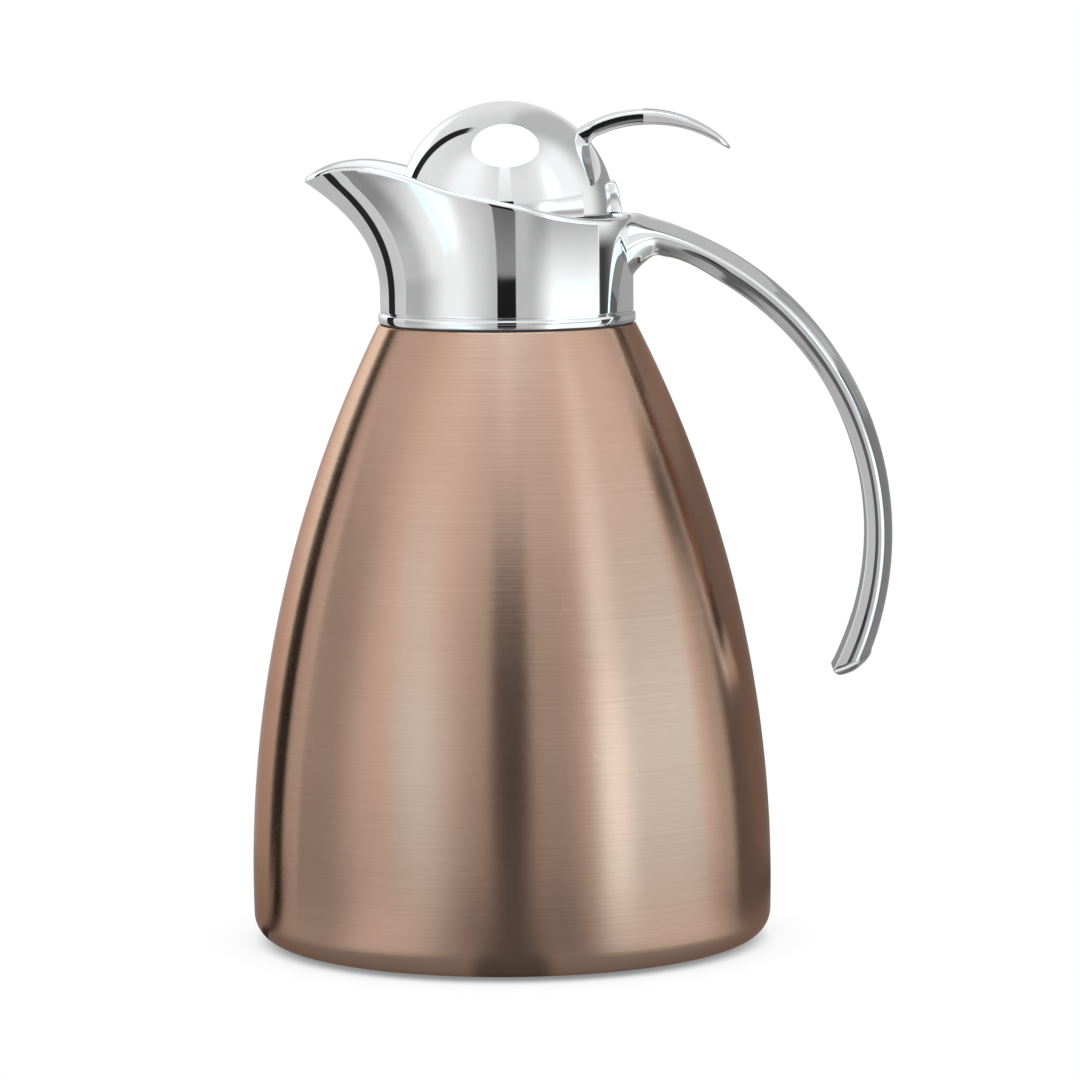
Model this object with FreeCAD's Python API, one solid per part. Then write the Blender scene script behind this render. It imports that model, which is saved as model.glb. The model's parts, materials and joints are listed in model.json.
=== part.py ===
import FreeCAD, Part
import math
import os

# Lengths are in millimetres. +Z is up, the spout points to -X and the handle to +X.
# The origin is on the body's axis, on the face that the carafe stands on.

overrun = 60.0                  # how far every cutting tool runs past what it cuts
fit = 0.2                       # play between fixed pieces that slide together

# Steel body
body_radius = 64.0              # widest radius of the wall
widest_height = 15.5
shell_height = 152.2            # height of the shoulder under the collar
shell_wall = 0.8
foot_fillet = 6.5
foot_lift = 0.6                 # the shell's foot stays this far above the table
foot_flange = 5.0               # inturned flange that carries the base plate
neck_height = 20.0
neck_gap = 1.7                  # vacuum gap in the neck
vacuum_gap = 6.5
flask_bore = 22.5               # radius of the mouth
flask_wall = 0.8
flask_fillet = 16.0
flask_lift = 9.0                # space between the base plate and the flask

# Base
plate_thickness = 1.0
plate_lap = 4.0
pump_hole_radius = 3.0
plug_head_radius = 5.0
plug_head_height = 1.0
getter_radius = 4.0
getter_height = 2.0
getter_offset = 22.0

# Collar and its rings
gasket_thickness = 0.4
gasket_inset = 0.5
insert_thickness = 2.4
insert_height = 14.0
lip_gasket_thickness = 0.6
ledge_thickness = 1.4
ledge_play = 0.5                # radial play of the stopper in the ledge
collar_wall = 2.4
collar_height = 25.2            # from the foot to the rim at the rear
band_height = 2.3
band_step = 0.5
groove_depth = 0.3
groove_height = 0.35
spout_reach = 19.75             # how far the spout's tip stands out from the collar
spout_wall = 2.2
flare_start = 5.4               # straight part of the collar above its foot
tip_rise = 10.3                 # the spout's tip above the rear rim
crest_rise = 14.0               # the spout's crest above the rear rim
flare_power = 2.4
nose_power = 1.25               # above 1 the spout is more pointed than an ellipse
collar_points = 24
section_shares = [0.0, 0.12, 0.26, 0.4, 0.54, 0.68, 0.81, 0.93, 1.04]
rim_shares = [(-0.75, 0.1), (-0.61, 0.06), (-0.48, 0.02), (0.0, 0.38), (0.33, 0.65), (0.51, 0.87),
              (0.75, 1.0), (0.92, 0.885), (1.03, 0.67)]

# Handle
handle_radius = 76.8            # centre line of the grip
grip_standoff = 9.47            # from the collar to where the grip leaves the root
grip_drop = 5.83                # that place below the rear rim
handle_start = 70.0             # degrees above the level where the root ends
handle_end = -31.0
grip_thickness = 6.65
grip_width = 14.0
crown_share = 0.42              # part of the thickness outside the side ridges
grip_shares = [(0.0, 1.18, 1.05), (0.12, 1.14, 1.0), (0.26, 1.08, 0.97), (0.4, 1.03, 0.95),
               (0.54, 1.0, 0.95), (0.68, 1.0, 0.95), (0.82, 1.03, 0.97), (0.93, 1.08, 1.02),
               (0.975, 0.88, 0.94), (1.0, 0.4, 0.6)]
root_width = 29.0
root_depth = 19.5
root_length = 8.4
root_sink = 4.0                 # how far the root is drawn into the collar before it is cut
root_shares = [(0.0, -0.05, 1.0, 0.08, 1.02), (0.363, -0.055, 0.76, 0.12, 0.76),
               (0.677, 0.0, 0.57, 0.145, 0.5)]
tenon_radius = 2.8
tenon_length = 6.2
tenon_drop = 7.0                # the tenon's axis below the rear rim

# Stopper
stopper_play = 0.5              # radial play in the mouth
stopper_depth = 26.0            # from the ledge to the bottom of the stopper's wall
stopper_wall = 2.5
flange_thickness = 2.8
flange_play = 0.8
port_radius = 6.2
port_wall = 1.5
cap_thickness = 2.0
seal_play = 0.3                 # the seals are drawn this far from the mouth
seal_height = 2.4
seal_depth = 1.2
seal_drop = 8.0
seal_pitch = 6.0

# Hinge
pin_radius = 1.0
pin_running = 0.05
hinge_inset = 1.9               # the pin's axis in from the dome's outside
hinge_rise = 3.5                # the pin's axis above the dome's edge
ear_radius = 2.6
ear_thickness = 1.3
ear_gap = 4.6
ear_relief = 1.4                # the ears' feet end this far behind the pin's axis
bracket_thickness = 1.0
bracket_length = 15.0
bracket_neck_length = 8.0
bracket_width = 16.0
bracket_screw_spacing = 11.0
bracket_screw_radius = 1.2
bracket_screw_head = 2.2
bracket_screw_length = 8.0
boss_radius = 2.8
boss_depth = 7.0
spring_wire = 0.45
spring_radius = 1.75
spring_turns = 4
spring_pitch = 0.9
spring_leg = 4.5
coil_points = 48                # points on each turn at which the wire's gap is measured

# Lid
dome_play = 2.2                 # between the dome and the collar's inside
dome_wall = 1.2
dome_lift = 1.2                 # the dome's edge above the rear rim
dome_skirt = 1.0                # the dome's edge below its centre
cheek_width = 13.2
cheek_gap = 7.8
cheek_proud = 1.9               # the cheeks' rear face behind the dome
cheek_reach = 5.9               # the cheeks' front in from the dome's outside
cheek_height = 7.7
cheek_slope = 1.6
cheek_shoulder = 2.0
slot_rise = 3.2                 # the slot's roof above the pin's axis
cheek_skin = 0.8                # closes the pin's hole on one side
liner_thickness = 1.4
liner_recess = 0.2
liner_notch_depth = 7.2         # the notch's front in from the dome's outside
liner_notch_width = 15.0
liner_boss_radius = 2.6
liner_boss_circle = 18.0
liner_screw_count = 3
liner_screw_radius = 1.1
liner_screw_head = 2.0
liner_screw_head_height = 0.8
liner_screw_length = 8.0
liner_screw_turn = 180.0
plug_radius = 8.5
plug_gap = 0.2                  # the plug's face above the flange at rest
plug_stem_play = 0.6
plug_stem_length = 2.0
plug_screw_radius = 1.2
plug_screw_head_radius = 2.4
plug_screw_head_height = 1.2
plug_screw_sink = 1.6
plug_screw_reach = 2.5

# Thumb lever, measured out from the dome
lever_crest_reach = 7.5
lever_crest_rise = 24.15        # the lever's top above the dome's centre
lever_top_radius = 29.5
lever_under_reach = 8.8
lever_under_radius = 32.0
lever_thickness = 3.65
lever_tip_reach = 28.4
lever_root_inset = 3.6
lever_root_depth = 7.0
lever_root_rise = 10.0
lever_width = 13.2
lever_tip_width = 10.4
lever_tip_round = 2.8
lever_screw_radius = 1.0
lever_screw_head_radius = 1.9
lever_screw_head_height = 1.0
lever_screw_reach = 2.8
lever_screw_spacing = 6.6
lever_screw_turn = 41.0

# Heights and radii that follow from the sizes above
plate_seat = foot_lift + shell_wall
plate_top = plate_seat + plate_thickness
lip_height = shell_height + neck_height
neck_radius = flask_bore + flask_wall + neck_gap + shell_wall
collar_inner = neck_radius + fit + insert_thickness + fit
collar_radius = collar_inner + collar_wall
shoulder_radius = collar_radius + band_step
shoulder_rise = shell_height - widest_height
shoulder_run = body_radius - shoulder_radius
wall_arc_radius = (shoulder_rise ** 2 + shoulder_run ** 2) / (2 * shoulder_run)
collar_foot = shell_height + gasket_thickness
rear_rim = collar_foot + collar_height
ledge_bottom = lip_height + lip_gasket_thickness
ledge_top = ledge_bottom + ledge_thickness
tip_reach = collar_radius + spout_reach
flare_height = collar_height + tip_rise - flare_start
stopper_radius = flask_bore - stopper_play
stopper_bottom = ledge_top - stopper_depth
flange_top = ledge_top + flange_thickness
cavity_radius = stopper_radius - stopper_wall
port_offset = cavity_radius - port_radius - port_wall - fit
dome_radius = collar_inner - dome_play
dome_edge = rear_rim + dome_lift
dome_centre = dome_edge + dome_skirt
dome_inner = dome_radius - dome_wall
liner_bottom = dome_edge + liner_recess
liner_top = liner_bottom + liner_thickness
hinge_x = dome_radius - hinge_inset
hinge_z = dome_edge + hinge_rise
cheek_front = dome_radius - cheek_reach
cheek_rear = dome_radius + cheek_proud
lever_crest_x = dome_radius + lever_crest_reach
lever_under_x = dome_radius + lever_under_reach
lever_tip_x = dome_radius + lever_tip_reach
lever_root_x = dome_radius - lever_root_inset

up = FreeCAD.Vector(0, 0, 1)
across = FreeCAD.Vector(0, 1, 0)
outward = FreeCAD.Vector(1, 0, 0)


def point(x, y, z):
    return FreeCAD.Vector(x, y, z)


def flat(x, z):
    return FreeCAD.Vector(x, 0, z)


def outline(start, steps):
    # Closed wire. A step is the next corner, or a point on an arc and the arc's end.
    edges = []
    here = start
    for step in steps + [start]:
        if isinstance(step, tuple):
            through, there = step
            edges.append(Part.Arc(here, through, there).toShape())
        else:
            there = step
            edges.append(Part.LineSegment(here, there).toShape())
        here = there
    return Part.Wire(edges)


def spun(start, steps):
    return Part.Face(outline(start, steps)).revolve(point(0, 0, 0), up, 360)


def slab(wire, width):
    # Plate of the given width, centred on the middle plane.
    face = Part.Face(wire)
    face.translate(across * (-width / 2))
    return face.extrude(across * width)


def disc(radius, bottom, height, x=0, y=0):
    return Part.makeCylinder(radius, height, point(x, y, bottom))


def tube(bore, radius, bottom, height):
    return disc(radius, bottom, height).cut(disc(bore, bottom, height))


def box(low, high):
    size = high - low
    return Part.makeBox(size.x, size.y, size.z, low)


def wall_radius(inset, height):
    # Radius of the body's outline, moved in by inset.
    run = math.sqrt((wall_arc_radius - inset) ** 2 - (height - widest_height) ** 2)
    return body_radius - wall_arc_radius + run


def wall_height(inset, radius):
    # Height above the widest point at which that outline has the given radius.
    run = radius - body_radius + wall_arc_radius
    return widest_height + math.sqrt((wall_arc_radius - inset) ** 2 - run ** 2)


def foot_arc(inset, bottom, fillet):
    # Fillet between a flat bottom and the outline: lower end, middle, upper end.
    rise = bottom + fillet - widest_height
    run = math.sqrt((wall_arc_radius - inset - fillet) ** 2 - rise ** 2)
    centre = flat(body_radius - wall_arc_radius + run, bottom + fillet)
    end = math.atan2(rise, run)
    turns = [-math.pi / 2, (end - math.pi / 2) / 2, end]
    return [centre + flat(math.cos(turn), math.sin(turn)) * fillet for turn in turns]


def wall_arc(inset, low, high):
    # Middle of the outline between two heights.
    middle = (low + high) / 2
    return flat(wall_radius(inset, middle), middle)


def outer_shell():
    outside = foot_arc(0, foot_lift, foot_fillet)
    inside = foot_arc(shell_wall, plate_seat, foot_fillet - shell_wall)
    under = shell_height - shell_wall
    neck_top = lip_height - flask_wall
    seat = outside[0].x - foot_flange
    return spun(flat(seat, foot_lift), [
        outside[0],
        (outside[1], outside[2]),
        (wall_arc(0, outside[2].z, shell_height), flat(wall_radius(0, shell_height), shell_height)),
        flat(neck_radius, shell_height),
        flat(neck_radius, neck_top),
        flat(neck_radius - shell_wall, neck_top),
        flat(neck_radius - shell_wall, under),
        flat(wall_radius(shell_wall, under), under),
        (wall_arc(shell_wall, inside[2].z, under), inside[2]),
        (inside[1], inside[0]),
        flat(seat, plate_seat)])


def plate_radius():
    return foot_arc(0, foot_lift, foot_fillet)[0].x - foot_flange


def base_plate():
    return tube(pump_hole_radius, plate_radius() + plate_lap, plate_seat, plate_thickness)


def base_pad():
    return disc(plate_radius() - fit, 0, plate_seat)


def evacuation_plug():
    shank = disc(pump_hole_radius, plate_seat, plate_thickness)
    return shank.fuse(disc(plug_head_radius, plate_top, plug_head_height))


def getter():
    return disc(getter_radius, plate_top, getter_height, getter_offset)


def inner_flask():
    outer_inset = shell_wall + vacuum_gap
    inner_inset = outer_inset + flask_wall
    floor = plate_top + flask_lift
    outside = foot_arc(outer_inset, floor, flask_fillet)
    inside = foot_arc(inner_inset, floor + flask_wall, flask_fillet - flask_wall)
    outer_join = wall_height(outer_inset, flask_bore + flask_wall)
    inner_join = wall_height(inner_inset, flask_bore)
    lip_under = lip_height - flask_wall
    return spun(flat(0, floor), [
        outside[0],
        (outside[1], outside[2]),
        (wall_arc(outer_inset, outside[2].z, outer_join), flat(flask_bore + flask_wall, outer_join)),
        flat(flask_bore + flask_wall, lip_under),
        flat(neck_radius, lip_under),
        flat(neck_radius, lip_height),
        flat(flask_bore, lip_height),
        flat(flask_bore, inner_join),
        (wall_arc(inner_inset, inside[2].z, inner_join), inside[2]),
        (inside[1], inside[0]),
        flat(0, floor + flask_wall)])


def foot_gasket():
    return tube(neck_radius + fit, shoulder_radius - gasket_inset, shell_height, gasket_thickness)


def collar_insert():
    return tube(neck_radius + fit, collar_inner - fit, collar_foot, insert_height)


def lip_gasket():
    return tube(flask_bore + ledge_play, neck_radius, lip_height, lip_gasket_thickness)


def collar_section(radius, trim, height):
    # Level section of the collar: round at the rear, drawn out to the spout at the front.
    rise = max(0, height - collar_foot - flare_start) / flare_height
    reach = collar_radius - trim + spout_reach * rise ** flare_power
    power = 1 + (nose_power - 1) * min(1, rise)
    points = []
    for step in range(collar_points):
        turn = 2 * math.pi * step / collar_points
        side = math.sin(turn)
        if math.cos(turn) > 0:
            x = -reach * math.cos(turn)
            y = radius * math.copysign(abs(side) ** power, side)
        else:
            x = -radius * math.cos(turn)
            y = radius * side
        points.append(point(x, y, height))
    curve = Part.BSplineCurve()
    curve.interpolate(points, True)
    return Part.Wire([curve.toShape()])


def collar_form(radius, trim):
    heights = [collar_foot + (collar_height + crest_rise) * share for share in section_shares]
    return Part.makeLoft([collar_section(radius, trim, height) for height in heights], True, False)


def rim_cutter():
    # Everything above the rim, which runs from the low rear up to the spout's crest.
    places = [flat(-tip_reach * along, rear_rim + crest_rise * rise) for along, rise in rim_shares]
    curve = Part.BSplineCurve()
    curve.interpolate(places)
    first = places[0]
    last = places[-1]
    front = last - outward * overrun
    rear = first + outward * overrun
    edges = [
        curve.toShape(),
        Part.LineSegment(last, front).toShape(),
        Part.LineSegment(front, front + up * overrun).toShape(),
        Part.LineSegment(front + up * overrun, rear + up * overrun).toShape(),
        Part.LineSegment(rear + up * overrun, rear).toShape(),
        Part.LineSegment(rear, first).toShape()]
    return slab(Part.Wire(edges), 2 * overrun)


def collar_outside():
    return collar_form(collar_radius, 0)


def tenon(radius):
    start = flat(collar_inner, rear_rim - tenon_drop)
    return Part.makeCylinder(radius, tenon_length, start, outward)


def pouring_collar():
    inside = collar_form(collar_inner, spout_wall)
    wall = collar_outside().cut(inside)
    band = tube(collar_radius - groove_depth, shoulder_radius, collar_foot, band_height)
    groove_bottom = collar_foot + band_height
    groove = tube(collar_radius - groove_depth, shoulder_radius, groove_bottom, groove_height)
    level = box(point(-overrun, -overrun, ledge_bottom), point(overrun, overrun, ledge_top))
    ledge = inside.common(level).cut(disc(flask_bore + ledge_play, ledge_bottom, ledge_thickness))
    return wall.fuse([band, ledge]).cut(groove).cut(rim_cutter()).cut(tenon(tenon_radius)).removeSplitter()


def handle_section(middle, out, half_width, crown, belly):
    # Lens with a ridge at each side: the crown on the outside, the belly on the inside.
    side = across * half_width
    edges = [
        Part.Arc(middle - side, middle + out * crown, middle + side).toShape(),
        Part.Arc(middle + side, middle - out * belly, middle - side).toShape()]
    return Part.Wire(edges)


def handle_root_sections():
    sections = []
    for along, drop, width, crown, depth in root_shares:
        x = collar_radius - root_sink + (root_length + root_sink) * along
        top = rear_rim - root_depth * drop
        middle = flat(x, top - root_depth * crown)
        belly = root_depth * (depth - crown)
        sections.append(handle_section(middle, up, root_width * width / 2, root_depth * crown, belly))
    return sections


def handle_out(along):
    # Direction out of the grip's arc, from its start at 0 to its end at 1.
    turn = math.radians(handle_start + (handle_end - handle_start) * along)
    return flat(math.cos(turn), math.sin(turn))


def handle_grip_sections():
    start = flat(collar_radius + grip_standoff, rear_rim - grip_drop)
    centre = start - handle_out(0) * handle_radius
    sections = []
    for along, thick, wide in grip_shares:
        out = handle_out(along)
        thickness = grip_thickness * thick
        inner = handle_radius - max(grip_thickness, thickness) / 2
        crown = thickness * crown_share
        belly = thickness - crown
        middle = centre + out * (inner + belly)
        sections.append(handle_section(middle, out, grip_width * wide / 2, crown, belly))
    return sections


def handle():
    bar = Part.makeLoft(handle_root_sections() + handle_grip_sections(), True, False)
    return bar.cut(collar_outside()).fuse(tenon(tenon_radius)).removeSplitter()


def bracket_front():
    return hinge_x + ear_relief - bracket_length


def bracket_screw_places():
    x = bracket_front() + (bracket_length - bracket_neck_length) / 2
    return [(x, side * bracket_screw_spacing / 2) for side in (-1, 1)]


def stopper_bosses():
    bottom = ledge_top - boss_depth
    return [disc(boss_radius, bottom, boss_depth, x, y) for x, y in bracket_screw_places()]


def stopper_port():
    # Way of the stream, through the cap, the tube and the flange.
    bottom = stopper_bottom - cap_thickness
    return disc(port_radius, bottom, flange_top - bottom, -port_offset)


def port_block():
    return disc(port_radius + port_wall, stopper_bottom, stopper_depth, -port_offset)


def seal_bottoms():
    return [ledge_top - seal_drop - seal_height - seal_pitch * number for number in range(2)]


def screw_paths(depth):
    return [disc(bracket_screw_radius, flange_top - depth, depth, x, y) for x, y in bracket_screw_places()]


def seal_rings(radius):
    floor = stopper_radius - seal_depth
    return [tube(floor, radius, bottom, seal_height) for bottom in seal_bottoms()]


def stopper_body():
    wall = tube(cavity_radius, stopper_radius, stopper_bottom, stopper_depth)
    return wall.cut(seal_rings(stopper_radius + fit))


def stopper_flange():
    plate = disc(collar_inner - flange_play, ledge_top, flange_thickness).cut(stopper_port())
    holes = screw_paths(bracket_screw_length - bracket_thickness)
    return plate.fuse(stopper_bosses()).cut(holes).removeSplitter()


def port_tube():
    return port_block().cut(stopper_port())


def stopper_foam():
    space = disc(cavity_radius, stopper_bottom, stopper_depth)
    return space.cut([port_block()] + stopper_bosses())


def stopper_cap():
    return disc(stopper_radius, stopper_bottom - cap_thickness, cap_thickness).cut(stopper_port())


def lip_seals():
    return Part.makeCompound(seal_rings(flask_bore - seal_play))


def countersunk_screw(radius, head, head_height, length, place):
    # Screw that points down, with its head's face at the place given.
    cone = Part.makeCone(radius, head, head_height, place - up * head_height)
    return cone.fuse(Part.makeCylinder(radius, length - head_height, place - up * length))


def bracket_screws():
    screws = []
    for x, y in bracket_screw_places():
        face = point(x, y, flange_top + bracket_thickness)
        screws.append(countersunk_screw(bracket_screw_radius, bracket_screw_head, bracket_thickness,
                                        bracket_screw_length, face))
    return Part.makeCompound(screws)


def pin_cylinder(radius, low, high):
    return Part.makeCylinder(radius, high - low, point(hinge_x, low, hinge_z), across)


def hinge_bracket():
    front = bracket_front()
    rear = hinge_x + ear_relief
    neck_width = ear_gap + 2 * ear_thickness
    top = flange_top + bracket_thickness
    neck = rear - bracket_neck_length
    wide = box(point(front, -bracket_width / 2, flange_top), point(neck, bracket_width / 2, top))
    narrow = box(point(front, -neck_width / 2, flange_top), point(rear, neck_width / 2, top))
    between = box(point(front, -ear_gap / 2, top), point(rear + overrun, ear_gap / 2, hinge_z + overrun))
    ear = outline(flat(hinge_x - ear_radius, flange_top), [
        flat(hinge_x - ear_radius, hinge_z),
        (flat(hinge_x, hinge_z + ear_radius), flat(hinge_x + ear_radius, hinge_z)),
        flat(rear, hinge_z - ear_radius),
        flat(rear, flange_top)])
    ears = slab(ear, neck_width).cut(between)
    bracket = wide.fuse([narrow, ears]).removeSplitter()
    return bracket.cut(pin_cylinder(pin_radius, -cheek_width, cheek_width)).cut(bracket_screws())


def hinge_pin():
    return pin_cylinder(pin_radius, cheek_skin + fit - cheek_width / 2, cheek_width / 2 - fit)


def bend(start, direction, end):
    # Arc from start, leaving in the given direction.
    chord = end - start
    along = chord / chord.Length
    side = direction - along * direction.dot(along)
    half_turn = math.atan2(side.Length, direction.dot(along)) / 2
    middle = start + chord / 2 + side / side.Length * (chord.Length / 2 * math.tan(half_turn))
    return Part.Arc(start, middle, end).toShape()


def coil_place(turn):
    centre = point(hinge_x, spring_pitch * (turn - spring_turns / 2), hinge_z)
    angle = 2 * math.pi * turn
    return centre + flat(math.sin(angle), -math.cos(angle)) * spring_radius


def coil_direction(turn):
    angle = 2 * math.pi * turn
    speed = flat(math.cos(angle), math.sin(angle)) * (2 * math.pi * spring_radius) + across * spring_pitch
    return speed / speed.Length


def coil_path():
    # Two legs towards the front and the turns between them, each quarter turn as two arcs.
    turns = [number / 4 for number in range(4 * spring_turns + 1)]
    first = coil_place(turns[0])
    last = coil_place(turns[-1])
    edges = [Part.LineSegment(first - coil_direction(turns[0]) * spring_leg, first).toShape()]
    for low, high in zip(turns, turns[1:]):
        start, end = coil_place(low), coil_place(high)
        leave, arrive = coil_direction(low), coil_direction(high)
        span = end - start
        spread = 2 * (1 - leave.dot(arrive))
        slope = span.dot(leave + arrive)
        reach = (math.sqrt(slope ** 2 + spread * span.dot(span)) - slope) / spread
        joint = (start + end + (leave - arrive) * reach) / 2
        edges.append(bend(start, leave, joint))
        back = bend(end, arrive * -1, joint)
        back.reverse()
        edges.append(back)
    edges.append(Part.LineSegment(last, last + coil_direction(turns[-1]) * spring_wire).toShape())
    return Part.Wire(Part.sortEdges(edges)[0])


def coil_gap(path):
    # Least gap of the wire to itself, between points at least half a turn apart along it.
    places = path.discretize(coil_points * spring_turns)
    apart = math.pi * spring_radius
    step = path.Length / (len(places) - 1)
    skip = math.ceil(apart / step)
    gaps = []
    for number, place in enumerate(places):
        gaps += [place.distanceToPoint(other) - spring_wire for other in places[number + skip:]]
    return min(gaps)


def return_spring():
    path = coil_path()
    start = coil_place(0) - coil_direction(0) * spring_leg
    ring = Part.Wire([Part.makeCircle(spring_wire / 2, start, coil_direction(0))])
    wire = path.makePipeShell([ring], True, False)
    print("return spring, least gap between turns:", round(coil_gap(path), 3))
    return wire


def cheek_block():
    rear_top = dome_edge + cheek_height
    wire = outline(flat(cheek_front, dome_edge), [
        flat(cheek_rear, dome_edge),
        flat(cheek_rear - cheek_slope / 2, rear_top - cheek_shoulder),
        flat(cheek_rear - cheek_slope, rear_top),
        flat(cheek_front, rear_top)])
    return slab(wire, cheek_width)


def liner_places():
    places = []
    for number in range(liner_screw_count):
        turn = math.radians(liner_screw_turn + 360 * number / liner_screw_count)
        places.append((liner_boss_circle * math.cos(turn), liner_boss_circle * math.sin(turn)))
    return places


def lever_screws():
    turn = math.radians(lever_screw_turn)
    out = flat(math.cos(turn), math.sin(turn))
    screws = []
    for side in (-1, 1):
        y = side * lever_screw_spacing / 2
        seat = math.sqrt(dome_inner ** 2 - y ** 2)
        place = point(0, y, dome_centre) + out * (seat - lever_screw_head_height)
        length = lever_screw_head_height + dome_wall + lever_screw_reach
        shank = Part.makeCylinder(lever_screw_radius, length, place, out)
        head = Part.makeCylinder(lever_screw_head_radius, lever_screw_head_height, place, out)
        screws.append(shank.fuse(head).removeSplitter())
    return Part.makeCompound(screws)


def liner_screws():
    face = liner_bottom
    screws = []
    for x, y in liner_places():
        screws.append(disc(liner_screw_radius, face, liner_screw_length, x, y).fuse(
            disc(liner_screw_head, face, liner_screw_head_height, x, y)).removeSplitter())
    return Part.makeCompound(screws)


def dome_ball(radius):
    return Part.makeSphere(radius, flat(0, dome_centre))


def dome_shell():
    above = box(point(-overrun, -overrun, dome_edge), point(overrun, overrun, dome_edge + overrun))
    shell = dome_ball(dome_radius).cut(dome_ball(dome_inner))
    core = dome_ball(dome_radius - dome_wall / 2)
    bosses = [disc(liner_boss_radius, liner_top, dome_radius, x, y).common(core) for x, y in liner_places()]
    dome = shell.fuse([cheek_block()] + bosses).common(above)
    slot = box(point(cheek_front - fit, -cheek_gap / 2, dome_edge - fit),
               point(cheek_rear + fit, cheek_gap / 2, hinge_z + slot_rise))
    hole = pin_cylinder(pin_radius + pin_running, cheek_skin - cheek_width / 2, cheek_width)
    return dome.cut(slot).cut(hole).cut(liner_screws()).cut(lever_screws()).removeSplitter()


def liner_radius():
    return math.sqrt(dome_inner ** 2 - (liner_top - dome_centre) ** 2) - fit


def dome_liner():
    plate = disc(liner_radius(), liner_bottom, liner_thickness)
    notch_x = dome_radius - liner_notch_depth
    notch = box(point(notch_x, -liner_notch_width / 2, liner_bottom - fit),
                point(notch_x + overrun, liner_notch_width / 2, liner_top + fit))
    return plate.cut(notch).cut(liner_screws()).cut(plug_screw()).removeSplitter()


def plug_screw():
    bottom = plug_bottom() + plug_screw_sink
    head = disc(plug_screw_head_radius, bottom, plug_screw_head_height, -port_offset)
    length = liner_top + plug_screw_reach - bottom
    return head.fuse(disc(plug_screw_radius, bottom, length, -port_offset)).removeSplitter()


def plug_bottom():
    return flange_top + plug_gap - plug_stem_length


def port_plug():
    plate = disc(plug_radius, flange_top + plug_gap, liner_bottom - flange_top - plug_gap, -port_offset)
    stem = disc(port_radius - plug_stem_play, plug_bottom(), plug_stem_length, -port_offset)
    sink = disc(plug_screw_head_radius, plug_bottom(), plug_screw_sink, -port_offset)
    return plate.fuse(stem).cut(sink).cut(plug_screw()).removeSplitter()


def arc_height(crest_x, crest_z, radius, x):
    return crest_z - radius + math.sqrt(radius ** 2 - (x - crest_x) ** 2)


def thumb_lever():
    crest = dome_centre + lever_crest_rise
    under = crest - lever_thickness
    start_x = lever_root_x - lever_root_depth
    low = dome_centre + lever_root_rise

    def top(x):
        return flat(x, arc_height(lever_crest_x, crest, lever_top_radius, x))

    def bottom(x):
        return flat(x, arc_height(lever_under_x, under, lever_under_radius, x))

    side = slab(outline(flat(start_x, low), [
        top(start_x),
        (top(lever_crest_x), top(lever_tip_x)),
        bottom(lever_tip_x),
        (bottom(lever_under_x), bottom(lever_root_x)),
        flat(lever_root_x, low)]), lever_width)
    shoulder_x = lever_tip_x - lever_tip_round
    plan = outline(point(start_x, -lever_width / 2, low), [
        point(lever_crest_x, -lever_width / 2, low),
        point(shoulder_x, -lever_tip_width / 2, low),
        (point(lever_tip_x, 0, low), point(shoulder_x, lever_tip_width / 2, low)),
        point(lever_crest_x, lever_width / 2, low),
        point(start_x, lever_width / 2, low)])
    strap = side.common(Part.Face(plan).extrude(up * overrun))
    return strap.cut(dome_ball(dome_radius)).cut(lever_screws()).removeSplitter()


nodes = [
    outer_shell, base_plate, base_pad, evacuation_plug, getter, inner_flask, foot_gasket, collar_insert,
    lip_gasket, pouring_collar, handle, stopper_body, stopper_flange, port_tube, stopper_foam, stopper_cap,
    lip_seals, hinge_bracket, bracket_screws, hinge_pin, return_spring, dome_shell, dome_liner, liner_screws,
    port_plug, plug_screw, thumb_lever, lever_screws]

os.makedirs("parts", exist_ok=True)
for node in nodes:
    name = node.__name__
    shape = node()
    print(name, "solids", len(shape.Solids), "valid", shape.isValid(), "volume", round(shape.Volume, 1))
    shape.exportStep("parts/" + name + ".step")
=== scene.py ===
import json
import math

import bmesh
import bpy
from mathutils import Euler, Matrix, Vector


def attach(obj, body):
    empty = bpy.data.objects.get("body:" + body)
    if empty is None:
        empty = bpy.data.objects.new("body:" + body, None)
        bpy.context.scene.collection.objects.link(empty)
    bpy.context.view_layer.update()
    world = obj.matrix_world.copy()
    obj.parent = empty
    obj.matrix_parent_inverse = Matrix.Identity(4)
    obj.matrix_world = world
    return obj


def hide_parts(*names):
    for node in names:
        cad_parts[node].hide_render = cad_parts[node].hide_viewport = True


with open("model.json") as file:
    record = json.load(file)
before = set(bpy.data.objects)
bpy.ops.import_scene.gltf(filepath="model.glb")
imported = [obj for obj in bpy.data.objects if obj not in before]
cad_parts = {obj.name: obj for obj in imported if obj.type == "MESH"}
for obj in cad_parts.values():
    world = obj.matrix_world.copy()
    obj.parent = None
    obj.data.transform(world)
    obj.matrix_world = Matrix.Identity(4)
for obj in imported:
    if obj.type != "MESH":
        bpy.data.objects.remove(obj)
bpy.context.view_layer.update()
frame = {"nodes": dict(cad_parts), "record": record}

nodes = frame["nodes"]
scene = bpy.context.scene
scene.view_settings.view_transform = "Standard"
mm = 0.001                       # the sizes of the pieces are in millimetres
print("frame loaded:", len(nodes), "nodes")


# Shader maths as plain expressions

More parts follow.
